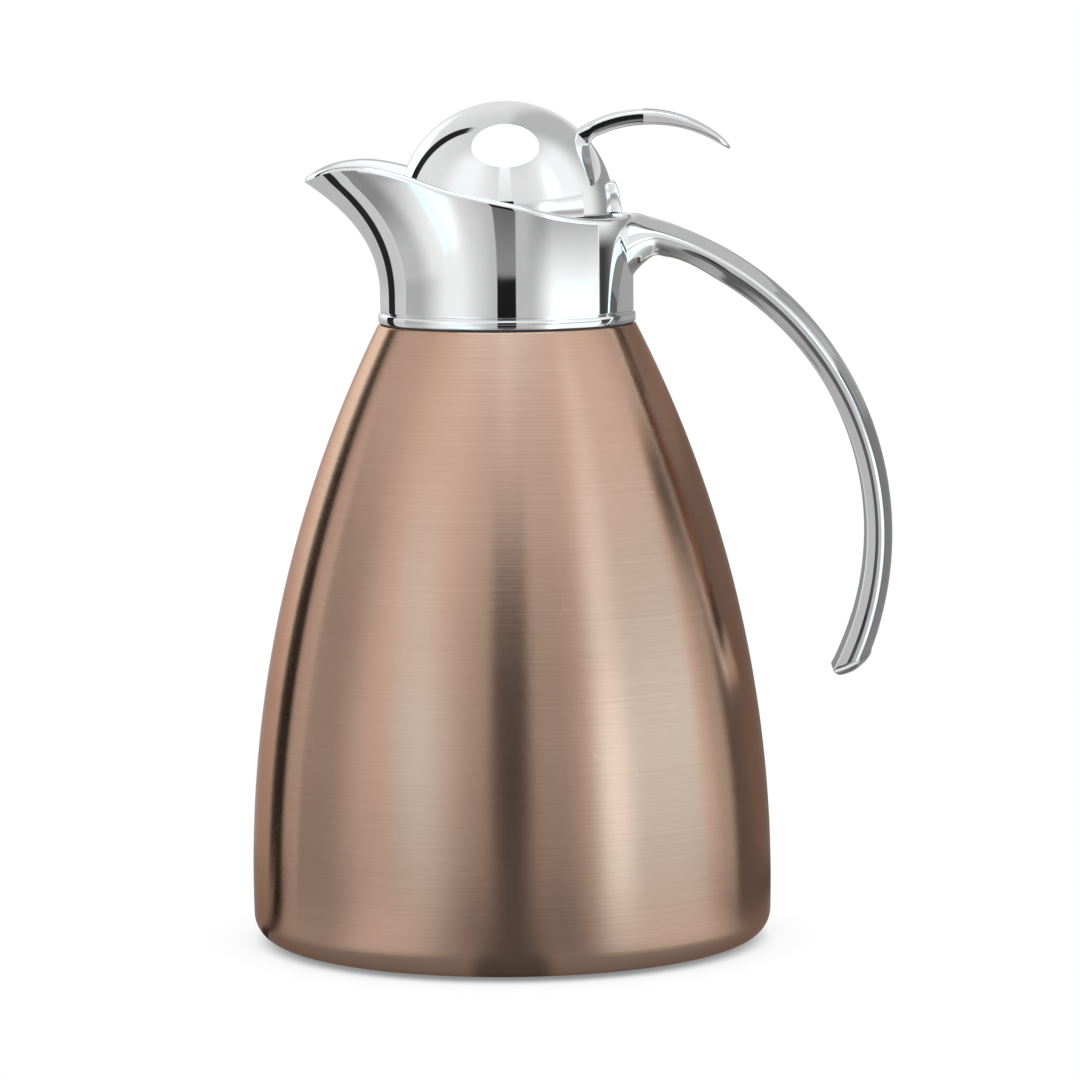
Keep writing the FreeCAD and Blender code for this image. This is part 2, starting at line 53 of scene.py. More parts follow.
class Value:
    def __init__(self, board, socket):
        self.board = board
        self.socket = socket

    def maths(self, operation, first, second=None):
        sockets = {0: first} if second is None else {0: first, 1: second}
        return self.board.add("ShaderNodeMath", {"operation": operation}, sockets)["Value"]

    def __add__(self, other):
        return self.maths("ADD", self, other)

    def __radd__(self, other):
        return self.maths("ADD", other, self)

    def __sub__(self, other):
        return self.maths("SUBTRACT", self, other)

    def __rsub__(self, other):
        return self.maths("SUBTRACT", other, self)

    def __mul__(self, other):
        return self.maths("MULTIPLY", self, other)

    def __rmul__(self, other):
        return self.maths("MULTIPLY", other, self)

    def __pow__(self, other):
        return self.maths("POWER", self, other)

    def __neg__(self):
        return self.maths("MULTIPLY", self, -1.0)

    def __abs__(self):
        return self.maths("ABSOLUTE", self)

    def least(self, other):
        return self.maths("MINIMUM", self, other)

    def most(self, other):
        return self.maths("MAXIMUM", self, other)

    def rise(self, low, high):
        # 0 below low, 1 above high, smooth between them
        return self.board.add("ShaderNodeMapRange", {"interpolation_type": "SMOOTHSTEP"},
                              {"Value": self, "From Min": low, "From Max": high})["Result"]

    def fall(self, low, high):
        return 1 - self.rise(low, high)

    def hill(self, low, full, end, high):
        # 1 from full to end, 0 below low and above high
        return self.rise(low, full) * self.fall(end, high)

    def band(self, low, high, soft):
        return self.hill(low - soft, low + soft, high - soft, high + soft)

    def zone(self, limits):
        # Limits start with the name of one of the four shapes above
        return getattr(self, limits[0])(*limits[1:])

    def between(self, low, high):
        # This value, from 0 to 1, spread over low to high
        return self * (high - low) + low

    def towards(self, goal, share):
        return self + share * (goal - self)


class Made:
    def __init__(self, board, node):
        self.board = board
        self.node = node

    def __getitem__(self, name):
        return Value(self.board, self.node.outputs[name])


class Board:
    def __init__(self, tree):
        self.tree = tree
        tree.nodes.clear()

    def add(self, kind, settings=None, sockets=None):
        node = self.tree.nodes.new(kind)
        for name, setting in (settings or {}).items():
            setattr(node, name, setting)
        for name, value in (sockets or {}).items():
            if isinstance(value, Value):
                self.tree.links.new(value.socket, node.inputs[name])
            else:
                node.inputs[name].default_value = value
        return Made(self, node)

    def mix(self, share, first, second):
        # Mix of two colours; sockets 6 and 7 are the colour pair
        return self.add("ShaderNodeMix", {"data_type": "RGBA"}, {0: share, 6: first, 7: second})[2]

    def place(self, stretch):
        # Object coordinates in metres, times a stretch along each axis
        spot = self.add("ShaderNodeTexCoord")["Object"]
        return self.add("ShaderNodeVectorMath", {"operation": "MULTIPLY"}, {0: spot, 1: stretch})["Vector"]

    def noise(self, stretch, detail, rough=0.5):
        return self.add("ShaderNodeTexNoise", {}, {"Vector": self.place(stretch), "Scale": 1.0, "Detail": detail,
                                                   "Roughness": rough})["Fac"]

    def bump(self, height, strength, distance):
        return self.add("ShaderNodeBump", {}, {"Strength": strength, "Distance": distance,
                                               "Height": height})["Normal"]


def finish(name, paint):
    material = bpy.data.materials.new(name)
    material.use_nodes = True
    board = Board(material.node_tree)
    shader = paint(board)
    board.add("ShaderNodeOutputMaterial", {}, {"Surface": shader["BSDF"]})
    return material


def even(value):
    return (value, value, value)


def shared(first, second, part):
    return first * part + second * (1 - part)


# Finishes; each noise has its stretch along the axes, its detail and its roughness

copper = {"light": (0.645, 0.43, 0.326, 1), "deep": (0.545, 0.347, 0.255, 1), "edge": (0.8, 0.6, 0.52, 1),
          "lines": ((14, 14, 2600), 4.0, 0.6), "fineLines": ((40, 40, 7000), 2.0, 0.6),
          "clouds": ((16, 16, 60), 3.0, 0.55),
          "toneShares": (0.5, 0.35, 0.25), "toneShift": 0.05, "toneSpan": (0.1, 0.9),
          "rough": (0.17, 0.22), "roughPart": 0.6, "brushing": 1.0, "brushTurn": 0.25,
          "groovePart": 0.6, "grooveStrength": 0.6, "grooveDepth": 0.00006,
          "marks": ((90, 60, 110), 0.0), "markMiddle": 0.5, "markWide": 0.004,
          "patches": ((75, 80, 70), 0.0), "patchSpan": (0.66, 0.72),
          "scratch": (0.78, 0.62, 0.52, 1), "scratchPart": 0.22, "scratchDepth": 0.2}


def paintCopper(board):
    lines = board.noise(*copper["lines"])
    fine = board.noise(*copper["fineLines"])
    clouds = board.noise(*copper["clouds"])
    mark = abs(board.noise(*copper["marks"]) - copper["markMiddle"])
    patch = board.noise(*copper["patches"]).rise(*copper["patchSpan"])
    scratch = mark.fall(0.0, copper["markWide"]) * patch
    ofLines, ofFine, ofClouds = copper["toneShares"]
    tone = lines * ofLines + fine * ofFine + clouds * ofClouds - copper["toneShift"]
    colour = board.mix(tone.rise(*copper["toneSpan"]), copper["deep"], copper["light"])
    colour = board.mix(scratch * copper["scratchPart"], colour, copper["scratch"])
    rough = shared(clouds, lines, copper["roughPart"]).between(*copper["rough"])
    groove = shared(lines, fine, copper["groovePart"]) - scratch * copper["scratchDepth"]
    return board.add("ShaderNodeBsdfPrincipled", {}, {
        "Base Color": colour, "Metallic": 1.0, "Roughness": rough, "Anisotropic": copper["brushing"],
        "Anisotropic Rotation": copper["brushTurn"], "Specular Tint": copper["edge"],
        "Normal": board.bump(groove, copper["grooveStrength"], copper["grooveDepth"])})


chrome = {"light": (0.93, 0.932, 0.935, 1), "deep": (0.90, 0.903, 0.908, 1), "rough": (0.02, 0.05),
          "haze": (even(90), 3.0, 0.6), "wipe": ((240, 60, 160), 4.0, 0.7), "hazeSpan": (0.3, 0.7),
          "roughPart": 0.5, "roughSpan": (0.35, 0.75)}


def paintChrome(board):
    haze = board.noise(*chrome["haze"])
    wipe = board.noise(*chrome["wipe"])
    colour = board.mix(haze.rise(*chrome["hazeSpan"]), chrome["deep"], chrome["light"])
    rough = shared(haze, wipe, chrome["roughPart"]).rise(*chrome["roughSpan"]).between(*chrome["rough"])
    return board.add("ShaderNodeBsdfPrincipled", {}, {
        "Base Color": colour, "Metallic": 1.0, "Roughness": rough})


steel = {"light": (0.66, 0.66, 0.65, 1), "deep": (0.52, 0.52, 0.52, 1), "rough": (0.22, 0.4),
         "lines": ((60, 60, 4200), 3.0, 0.6), "haze": (even(120), 3.0, 0.6), "tonePart": 0.6, "toneSpan": (0.3, 0.7),
         "roughPart": 0.5, "brushing": 0.6, "brushTurn": 0.25, "bump": (0.2, 0.00002)}


def paintSteel(board):
    lines = board.noise(*steel["lines"])
    haze = board.noise(*steel["haze"])
    tone = shared(lines, haze, steel["tonePart"]).rise(*steel["toneSpan"])
    rough = shared(lines, haze, steel["roughPart"]).between(*steel["rough"])
    return board.add("ShaderNodeBsdfPrincipled", {}, {
        "Base Color": board.mix(tone, steel["deep"], steel["light"]), "Metallic": 1.0, "Roughness": rough,
        "Anisotropic": steel["brushing"], "Anisotropic Rotation": steel["brushTurn"],
        "Normal": board.bump(lines, *steel["bump"])})


moulding = {"light": (0.034, 0.034, 0.036, 1), "deep": (0.018, 0.018, 0.019, 1), "rough": (0.36, 0.55),
            "grain": (even(2600), 2.0, 0.6), "haze": (even(110), 3.0, 0.6), "part": 0.4, "toneSpan": (0.3, 0.7),
            "bump": (0.3, 0.00004)}


def paintMoulding(board):
    grain = board.noise(*moulding["grain"])
    both = shared(grain, board.noise(*moulding["haze"]), moulding["part"])
    colour = board.mix(both.rise(*moulding["toneSpan"]), moulding["deep"], moulding["light"])
    return board.add("ShaderNodeBsdfPrincipled", {}, {
        "Base Color": colour, "Roughness": both.between(*moulding["rough"]),
        "Normal": board.bump(grain, *moulding["bump"])})


rubber = {"light": (0.06, 0.06, 0.062, 1), "deep": (0.03, 0.03, 0.031, 1), "rough": (0.55, 0.8),
          "dust": (even(900), 4.0, 0.7), "haze": (even(70), 3.0, 0.6), "part": 0.5, "toneSpan": (0.35, 0.7),
          "bump": (0.25, 0.00005)}


def paintRubber(board):
    dust = board.noise(*rubber["dust"])
    tone = shared(dust, board.noise(*rubber["haze"]), rubber["part"]).rise(*rubber["toneSpan"])
    return board.add("ShaderNodeBsdfPrincipled", {}, {
        "Base Color": board.mix(tone, rubber["deep"], rubber["light"]), "Roughness": dust.between(*rubber["rough"]),
        "Normal": board.bump(dust, *rubber["bump"])})


foam = {"light": (0.86, 0.83, 0.73, 1), "deep": (0.62, 0.57, 0.44, 1), "cells": even(700), "cellSpan": (0.1, 0.7),
        "stain": (even(60), 3.0, 0.6), "stainTones": (0.6, 1.0), "rough": (0.7, 0.95), "bump": (0.5, 0.0004)}


def paintFoam(board):
    cells = board.add("ShaderNodeTexVoronoi", {}, {"Vector": board.place(foam["cells"]), "Scale": 1.0})["Distance"]
    stain = board.noise(*foam["stain"])
    tone = cells.rise(*foam["cellSpan"]) * stain.between(*foam["stainTones"])
    return board.add("ShaderNodeBsdfPrincipled", {}, {
        "Base Color": board.mix(tone, foam["deep"], foam["light"]), "Roughness": cells.between(*foam["rough"]),
        "Normal": board.bump(cells, *foam["bump"])})


finishes = {
    "copper_shell": finish("brushed_copper", paintCopper),
    "chrome": finish("polished_chrome", paintChrome),
    "steel": finish("satin_steel", paintSteel),
    "black_plastic": finish("black_moulding", paintMoulding),
    "silicone": finish("dark_silicone", paintRubber),
    "pad": finish("foot_rubber", paintRubber),
    "foam": finish("stopper_foam", paintFoam),
}
print("finishes made:", len(finishes))


# Meshes from rings of points

meshing = {"weld": 0.002, "crease": 38, "turns": 256}


def skin(name, rings, loop=False):
    # Rings in millimetres, each joined to the next; a loop joins the last to the first, else the ends are closed
    count = len(rings[0])
    points = [Vector(place) * mm for ring in rings for place in ring]
    faces = []
    for row in range(len(rings) if loop else len(rings) - 1):
        low = row * count
        high = (row + 1) % len(rings) * count
        for step in range(count):
            after = (step + 1) % count
            faces.append((low + step, low + after, high + after, high + step))
    if not loop:
        faces.append(tuple(range(count)))
        faces.append(tuple(range(len(points) - count, len(points))))
    mesh = bpy.data.meshes.new(name)
    mesh.from_pydata(points, [], faces)
    return dress(name, mesh)


def dress(name, mesh, crease=meshing["crease"]):
    work = bmesh.new()
    work.from_mesh(mesh)
    bmesh.ops.remove_doubles(work, verts=work.verts, dist=meshing["weld"] * mm)
    bmesh.ops.recalc_face_normals(work, faces=work.faces)
    work.to_mesh(mesh)
    work.free()
    mesh.shade_smooth()
    mesh.set_sharp_from_angle(angle=math.radians(crease))
    piece = bpy.data.objects.new(name, mesh)
    scene.collection.objects.link(piece)
    return piece


def fullTurn(steps):
    return [2 * math.pi * step / steps for step in range(steps)]


def spun(name, profile, steps=meshing["turns"], loop=True):
    # Turned piece: radius and height of each point of its outline
    rings = [[(radius * math.cos(turn), radius * math.sin(turn), height) for turn in fullTurn(steps)]
             for radius, height in profile]
    return skin(name, rings, loop)


def fitted(piece, body, slot, *replaced):
    piece.data.materials.clear()
    piece.data.materials.append(finishes[slot])
    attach(piece, body)
    if replaced:
        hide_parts(*replaced)
    return piece


def spread(low, high, count):
    return [low + (high - low) * step / count for step in range(count + 1)]


def curve(stations, where):
    # Smooth value through (place, value) stations, rising in place
    places = [station[0] for station in stations]
    values = [station[1] for station in stations]
    last = len(places) - 1
    index = max(0, min(last - 1, sum(1 for place in places[1:-1] if place <= where)))
    slopes = []
    for at in (index, index + 1):
        if at == 0:
            slope = (values[1] - values[0]) / (places[1] - places[0])
        elif at == last:
            slope = (values[-1] - values[-2]) / (places[-1] - places[-2])
        else:
            before, after = places[at] - places[at - 1], places[at + 1] - places[at]
            down = (values[at] - values[at - 1]) / before
            forth = (values[at + 1] - values[at]) / after
            slope = (down * after + forth * before) / (before + after)
        slopes.append(slope)
    run = places[index + 1] - places[index]
    share = (where - places[index]) / run
    square, cube = share ** 2, share ** 3
    return ((2 * cube - 3 * square + 1) * values[index] + (cube - 2 * square + share) * run * slopes[0]
            + (3 * square - 2 * cube) * values[index + 1] + (cube - square) * run * slopes[1])


# Steel body

body = {"radius": 64.0, "widest": 15.5, "top": 152.2, "shoulder": 31.5, "wall": 0.8, "fillet": 6.5, "lift": 0.6,
        "flange": 5.0, "neck": 25.8, "neckTop": 171.4, "edge": 0.5, "edgeLean": 0.3, "edgeRows": 4,
        "footRows": (14, 10), "wallRows": (90, 40)}
body["arc"] = ((body["top"] - body["widest"]) ** 2 + (body["radius"] - body["shoulder"]) ** 2) \
    / (2 * (body["radius"] - body["shoulder"]))


def wallRadius(height, inset=0.0):
    return body["radius"] - body["arc"] + math.sqrt((body["arc"] - inset) ** 2 - (height - body["widest"]) ** 2)


def footArc(inset, bottom, fillet, count):
    up = bottom + fillet - body["widest"]
    run = math.sqrt((body["arc"] - inset - fillet) ** 2 - up ** 2)
    middle = body["radius"] - body["arc"] + run
    return [(middle + fillet * math.cos(turn), bottom + fillet + fillet * math.sin(turn))
            for turn in spread(-math.pi / 2, math.atan2(up, run), count)]


def makeBody():
    thick, lift, edge, neck = body["wall"], body["lift"], body["edge"], body["neck"]
    outerFoot, innerFoot = body["footRows"]
    outerWall, innerWall = body["wallRows"]
    outer = footArc(0, lift, body["fillet"], outerFoot)
    inner = footArc(thick, lift + thick, body["fillet"] - thick, innerFoot)
    seat = outer[0][0] - body["flange"]
    brim, under = body["top"] - edge, body["top"] - thick
    profile = [(seat, lift)] + outer
    profile += [(wallRadius(height), height) for height in spread(outer[-1][1], brim, outerWall)[1:]]
    ring = wallRadius(brim)
    for turn in spread(0, math.pi / 2, body["edgeRows"])[1:]:
        inwards = edge * (1 - math.cos(turn)) + edge * body["edgeLean"] * math.sin(turn)
        profile.append((ring - inwards, brim + edge * math.sin(turn)))
    profile += [(neck, body["top"]), (neck, body["neckTop"]), (neck - thick, body["neckTop"]), (neck - thick, under)]
    profile += [(wallRadius(height, thick), height) for height in spread(under, inner[-1][1], innerWall)]
    profile += inner[-2::-1] + [(seat, lift + thick)]
    return fitted(spun("body_shell", profile), "carafe", "copper_shell", "outer_shell")


makeBody()
print("body made")


# Pouring collar; the rows of the foot's band and groove give a height and how far they stand out

collar = {"radius": 31.0, "inner": 28.6, "foot": 152.6, "flareStart": 5.4, "flareHeight": 30.1, "reach": 19.75,
          "flarePower": 2.4, "nose": 1.25, "trim": 2.2, "ledgeLow": 172.8, "ledgeTop": 174.2, "mouth": 23.0,
          "lip": 1.05, "rimMost": 196.0, "halvings": 40, "steps": 288,
          "band": 0.5, "bandTop": 154.9, "bandFoot": [(0.0, -0.35), (0.12, -0.1), (0.4, 0.0)],
          "bandHead": [(-0.5, 0.0), (-0.15, -0.12), (0.0, -0.4)],
          "groove": [(0.02, -0.25), (0.35, -0.25), (0.39, -0.06), (0.55, 0.0)], "wallFrom": 0.8,
          "outerRows": 44, "lipRows": 10, "innerRows": 24, "skirtRows": 12,
          "rim": [(-52.3, 187.18), (-46.7, 190.19), (-38.1, 191.8), (-25.9, 189.98), (-16.7, 186.9), (0.0, 183.12),
                  (24.4, 178.42), (31.0, 178.74), (38.1, 179.2)]}


def collarPlace(turn, height, radius, trim):
    up = max(0.0, height - collar["foot"] - collar["flareStart"]) / collar["flareHeight"]
    along, side = math.cos(turn), math.sin(turn)
    if along <= 0:
        return -radius * along, radius * side
    reach = collar["radius"] - trim + collar["reach"] * up ** collar["flarePower"]
    power = 1 + (collar["nose"] - 1) * min(1, up)
    return -reach * along, math.copysign(radius * abs(side) ** power, side)


def rimHeight(turn, radius, trim):
    # Height at which this line up the wall meets the rim
    low, high = collar["ledgeTop"], collar["rimMost"]
    for step in range(collar["halvings"]):
        middle = (low + high) / 2
        if middle < curve(collar["rim"], collarPlace(turn, middle, radius, trim)[0]):
            low = middle
        else:
            high = middle
    return low


def collarColumn(turn):
    radius, inner, trim, lip = collar["radius"], collar["inner"], collar["trim"], collar["lip"]
    band, foot, bandTop = collar["band"], collar["foot"], collar["bandTop"]

    def outerPoint(height, grow=0.0):
        x, y = collarPlace(turn, height, radius, 0)
        return (x * (1 + grow / radius), y * (1 + grow / radius), height)

    def innerPoint(height):
        return (*collarPlace(turn, height, inner, trim), height)

    outerTop = rimHeight(turn, radius, 0) - lip
    innerTop = rimHeight(turn, inner, trim) - lip
    rows = [outerPoint(foot + rise, band + grow) for rise, grow in collar["bandFoot"]]
    rows += [outerPoint(bandTop + rise, band + grow) for rise, grow in collar["bandHead"]]
    rows += [outerPoint(bandTop + rise, grow) for rise, grow in collar["groove"]]
    rows += [outerPoint(height) for height in spread(bandTop + collar["wallFrom"], outerTop, collar["outerRows"])]
    outside, inside = Vector(rows[-1]), Vector(innerPoint(innerTop))
    for tilt in spread(0, math.pi, collar["lipRows"])[1:-1]:
        rim = outside.lerp(inside, (1 - math.cos(tilt)) / 2)
        rows.append((rim.x, rim.y, rim.z + lip * math.sin(tilt)))
    rows += [innerPoint(height) for height in spread(innerTop, collar["ledgeTop"], collar["innerRows"])]
    across = (-collar["mouth"] * math.cos(turn), collar["mouth"] * math.sin(turn))
    rows += [(*across, collar["ledgeTop"]), (*across, collar["ledgeLow"])]
    return rows + [innerPoint(height) for height in spread(collar["ledgeLow"], foot, collar["skirtRows"])]


def makeCollar():
    rings = [list(ring) for ring in zip(*[collarColumn(turn) for turn in fullTurn(collar["steps"])])]
    return fitted(skin("collar", rings, True), "carafe", "chrome", "pouring_collar")


makeCollar()
print("collar made")


# Handle; the outline gives rise and side of half a section, from the inside to the outside

grip = {"start": (40.47, 171.97), "radius": 76.8, "from": 70.0, "to": -31.0, "thick": 6.65, "width": 14.0,
        "crown": 0.42, "blend": 0.03, "startRound": 0.15, "rings": 170, "fineness": 4,
        "outline": [(-1.0, 0.0), (-1.0, 0.5), (-1.0, 0.80), (-0.985, 0.858), (-0.95, 0.879), (-0.7, 0.9135),
                    (-0.5, 0.941), (-0.36, 0.9595), (-0.25, 0.9705), (-0.15, 0.9775), (-0.05, 0.981),
                    (0.06, 0.981), (0.17, 0.972), (0.25, 0.954), (0.32, 0.912), (0.42, 0.82), (0.58, 0.63),
                    (0.78, 0.40), (0.94, 0.17), (1.0, 0.0)],
        "shares": [(0.0, 1.18, 1.05), (0.12, 1.14, 1.0), (0.26, 1.08, 0.97), (0.4, 1.03, 0.95), (0.54, 1.0, 0.95),
                   (0.68, 1.0, 0.95), (0.82, 1.03, 0.97), (0.93, 1.07, 1.0), (1.0, 1.07, 1.0)],
        "root": [(28.3, 178.8, 10.8, 1.6, 17.4, 1.0), (31.5, 178.85, 9.4, 2.3, 12.0, 0.75),
                 (35.4, 177.8, 8.1, 2.8, 6.7, 0.3)],
        "cutFrom": 0.84, "cutInside": 0.96, "cutOutside": 0.902, "cutWay": (0.1, 0.0, -0.995), "bulge": 3.0,
        "capRings": 8}


def gripStations():
    # Each station: middle x and height, tilt of the outside, half width, crown, belly and share of roundness
    stations = [(x, top - crown, 90.0, half, crown, belly, roundness)
                for x, top, half, crown, belly, roundness in grip["root"]]
    first = math.radians(grip["from"])
    centreX = grip["start"][0] - grip["radius"] * math.cos(first)
    centreZ = grip["start"][1] - grip["radius"] * math.sin(first)
    for along, thick, wide in grip["shares"]:
        tilt = grip["from"] + (grip["to"] - grip["from"]) * along
        depth = grip["thick"] * thick
        crown = depth * grip["crown"]
        distance = grip["radius"] - max(grip["thick"], depth) / 2 + depth - crown
        turn = math.radians(tilt)
        roundness = max(0.0, grip["startRound"] * (1 - along / grip["blend"]))
        stations.append((centreX + distance * math.cos(turn), centreZ + distance * math.sin(turn), tilt,
                         grip["width"] * wide / 2, crown, depth - crown, roundness))
    return stations


def gripOutline(half, crown, belly, roundness):
    # Arched outside, slowly turning sides and a flat inside; round at the root
    count = len(grip["outline"]) - 1
    rises = [(number, place[0]) for number, place in enumerate(grip["outline"])]
    sides = [(number, place[1]) for number, place in enumerate(grip["outline"])]
    middle, deep = (crown - belly) / 2, (crown + belly) / 2
    near = []
    for step in spread(0, count, grip["fineness"] * count):
        turn = math.pi * (step / count - 0.5)
        side = curve(sides, step) * (1 - roundness) + math.cos(turn) * roundness
        rise = curve(rises, step) * (1 - roundness) + math.sin(turn) * roundness
        near.append((half * side, middle + deep * rise))
    return near + [(-side, rise) for side, rise in near[-2:0:-1]]


def makeHandle():
    stations = gripStations()
    lengths = [0.0]
    for before, after in zip(stations, stations[1:]):
        lengths.append(lengths[-1] + math.dist(before[:2], after[:2]))
    tables = [[(length, station[part]) for length, station in zip(lengths, stations)]
              for part in range(len(stations[0]))]
    start, whole = lengths[len(grip["root"])], lengths[-1]
    cutFrom, inside, outside = grip["cutFrom"], grip["cutInside"], grip["cutOutside"]

    def placed(length, side, rise):
        x, height, tilt = [curve(table, length) for table in tables[:3]]
        turn = math.radians(tilt)
        return Vector((x + rise * math.cos(turn), side, height + rise * math.sin(turn)))

    rings = []
    for length in spread(0, whole, grip["rings"]):
        half, crown, belly, roundness = [curve(table, length) for table in tables[3:]]
        past = max(0.0, (length - start) / (whole - start) - cutFrom) / (1 - cutFrom)
        ring = []
        for side, rise in gripOutline(half, crown, belly, min(1.0, max(0.0, roundness))):
            # Near the end the rings lean over to the slanted cut
            ending = inside + (outside - inside) * (rise + belly) / (crown + belly)
            own = length if past == 0 else start + (whole - start) * (cutFrom + (ending - cutFrom) * past)
            ring.append(placed(own, side, rise))
        rings.append(ring)
    last = rings[-1]
    centre = sum(last, Vector()) / len(last)
    for turn in spread(0, math.pi / 2, grip["capRings"])[1:-1]:
        out = Vector(grip["cutWay"]) * grip["bulge"] * math.sin(turn)
        rings.append([centre + (place - centre) * math.cos(turn) + out for place in last])
    return fitted(skin("handle_bar", rings), "carafe", "chrome", "handle")


makeHandle()
print("handle made")


# Lid

dome = {"radius": 26.4, "inner": 25.2, "centre": 180.0, "edge": 179.0, "slot": 3.9, "slotTop": 185.7,
        "cheekFront": 21.5, "cheekRear": 28.3, "cheekTop": 186.7, "cheekHalf": (7.1, 5.95), "slope": 1.6,
        "shoulder": 2.0, "round": 0.55, "roundRows": 4, "cheekCrease": 30, "pole": 0.01, "rows": (72, 40), "turns": 192,
        "clear": 1, "ballGap": 0.02, "ballFacing": 0.97}


def cutBy(piece, low, high):
    # Box-shaped cut, made at once
    tool = bpy.data.meshes.new("cut")
    corners = [(x, y, z) for x in (low[0], high[0]) for y in (low[1], high[1]) for z in (low[2], high[2])]
    tool.from_pydata([Vector(corner) * mm for corner in corners], [],
                     [(0, 1, 3, 2), (4, 6, 7, 5), (0, 4, 5, 1), (2, 3, 7, 6), (0, 2, 6, 4), (1, 5, 7, 3)])
    block = bpy.data.objects.new("cut", tool)
    scene.collection.objects.link(block)
    cut = piece.modifiers.new("cut", "BOOLEAN")
    cut.operation = "DIFFERENCE"
    cut.solver = "EXACT"
    cut.object = block
    bpy.context.view_layer.update()
    mesh = bpy.data.meshes.new_from_object(piece.evaluated_get(bpy.context.evaluated_depsgraph_get()))
    piece.modifiers.clear()
    piece.data = mesh
    bpy.data.objects.remove(block)
    return piece


def cutSlot(piece, front):
    # Slot for the hinge bracket, open to the rear and below
    low = (front, -dome["slot"], dome["edge"] - dome["clear"])
    cutBy(piece, low, (dome["cheekRear"] + dome["clear"], dome["slot"], dome["slotTop"]))


def ballNormals(piece):
    # Exact normals on the two balls of the dome, plain ones on its cut faces
    mesh = piece.data
    middle = Vector((0, 0, dome["centre"])) * mm
    normals = []
    for face in mesh.polygons:
        facing = (face.center - middle).normalized().dot(face.normal)
        for corner in face.loop_indices:
            away = mesh.vertices[mesh.loops[corner].vertex_index].co - middle
            gap = min(abs(away.length - dome["radius"] * mm), abs(away.length - dome["inner"] * mm))
            if gap < dome["ballGap"] * mm and abs(facing) > dome["ballFacing"]:
                normals.append(away.normalized() * math.copysign(1, facing))
            else:
                normals.append(face.normal.copy())
    mesh.normals_split_custom_set(normals)


def makeDome():
    centre, radius, inside = dome["centre"], dome["radius"], dome["inner"]
    outerRows, innerRows = dome["rows"]
    outerEnd = math.acos((dome["edge"] - centre) / radius)
    innerEnd = math.acos((dome["edge"] - centre) / inside)
    profile = [(radius * math.sin(turn), centre + radius * math.cos(turn))
               for turn in spread(dome["pole"], outerEnd, outerRows)]
    profile += [(inside * math.sin(turn), centre + inside * math.cos(turn))
                for turn in spread(innerEnd, dome["pole"], innerRows)]
    piece = spun("dome", profile, dome["turns"], False)
    cutSlot(piece, dome["cheekFront"])
    ballNormals(piece)
    return fitted(piece, "lid", "chrome", "dome_shell")


def makeCheeks():
    top, rear, front, edge = dome["cheekTop"], dome["cheekRear"], dome["cheekFront"], dome["edge"]
    side = [(front, edge), (rear, edge), (rear - dome["slope"] / 2, top - dome["shoulder"]),
            (rear - dome["slope"], top), (front, top)]
    wide, narrow = dome["cheekHalf"]
    points = [Vector((x, way * (wide + (narrow - wide) * (x - front) / (rear - front)), z)) * mm
              for way in (-1, 1) for x, z in side]
    count = len(side)
    faces = [tuple(range(count)), tuple(range(2 * count - 1, count - 1, -1))]
    faces += [(step, (step + 1) % count, (step + 1) % count + count, step + count) for step in range(count)]
    mesh = bpy.data.meshes.new("hinge_cheeks")
    mesh.from_pydata(points, [], faces)
    work = bmesh.new()
    work.from_mesh(mesh)
    bmesh.ops.recalc_face_normals(work, faces=work.faces)
    bmesh.ops.bevel(work, geom=list(work.edges), offset=dome["round"] * mm, segments=dome["roundRows"], profile=0.5,
                    affect="EDGES")
    work.to_mesh(mesh)
    work.free()
    piece = dress("hinge_cheeks", mesh, dome["cheekCrease"])
    cutSlot(piece, front - dome["clear"])
    return fitted(piece, "lid", "chrome", "dome_shell")


makeDome()
makeCheeks()

lever = {"crestX": 33.9, "crestZ": 204.15, "topArc": 29.5, "underX": 35.2, "underZ": 200.5, "underArc": 32.0,
         "tip": 54.8, "root": 20.4, "start": 17.0, "low": 195.4, "half": 6.6, "tipHalf": 5.2, "web": 1.4,
         "webPower": 2.2, "rings": 110, "points": 56, "closeFrom": 0.9, "endFrom": 0.86, "endShare": 0.995,
         "endHalf": 0.35, "endDeep": 0.25, "square": 7.0, "squareLoss": 4.2}


def arcHeight(x, crest, height, arc):
    return height - arc + math.sqrt(max(0.0, arc ** 2 - (x - crest) ** 2))


def makeLever():
    closeFrom, endFrom = lever["closeFrom"], lever["endFrom"]
    rings = []
    for share in spread(0, 1, lever["rings"]):
        if share >= closeFrom:      # closer rings towards the tip
            ending = (share - closeFrom) / (1 - closeFrom)
            share = closeFrom + (1 - closeFrom) * math.sin(ending * math.pi / 2)
        x = lever["start"] + (lever["tip"] - lever["start"]) * share
        top = arcHeight(x, lever["crestX"], lever["crestZ"], lever["topArc"])
        low = arcHeight(x, lever["underX"], lever["underZ"], lever["underArc"])
        past = max(0.0, x - lever["root"]) / lever["web"]
        low -= (low - lever["low"]) * max(0.0, 1 - past) ** lever["webPower"]
        along = max(0.0, x - lever["crestX"]) / (lever["tip"] - lever["crestX"])
        ending = max(0.0, along - endFrom) / (1 - endFrom)
        ease = math.sqrt(max(0.0, 1 - (lever["endShare"] * ending) ** 2))
        half = lever["half"] + (lever["tipHalf"] - lever["half"]) * along
        half *= lever["endHalf"] + (1 - lever["endHalf"]) * ease
        deep = (top - low) / 2 * (lever["endDeep"] + (1 - lever["endDeep"]) * ease)
        square = 2 / (lever["square"] - lever["squareLoss"] * along)
        ring = []
        for turn in fullTurn(lever["points"]):
            side, rise = math.cos(turn), math.sin(turn)
            ring.append((x, half * math.copysign(abs(side) ** square, side),
                         (top + low) / 2 + deep * math.copysign(abs(rise) ** square, rise)))
        rings.append(ring)
    return fitted(skin("lever_strap", rings), "lid", "chrome", "thumb_lever")


makeLever()
print("lid made")


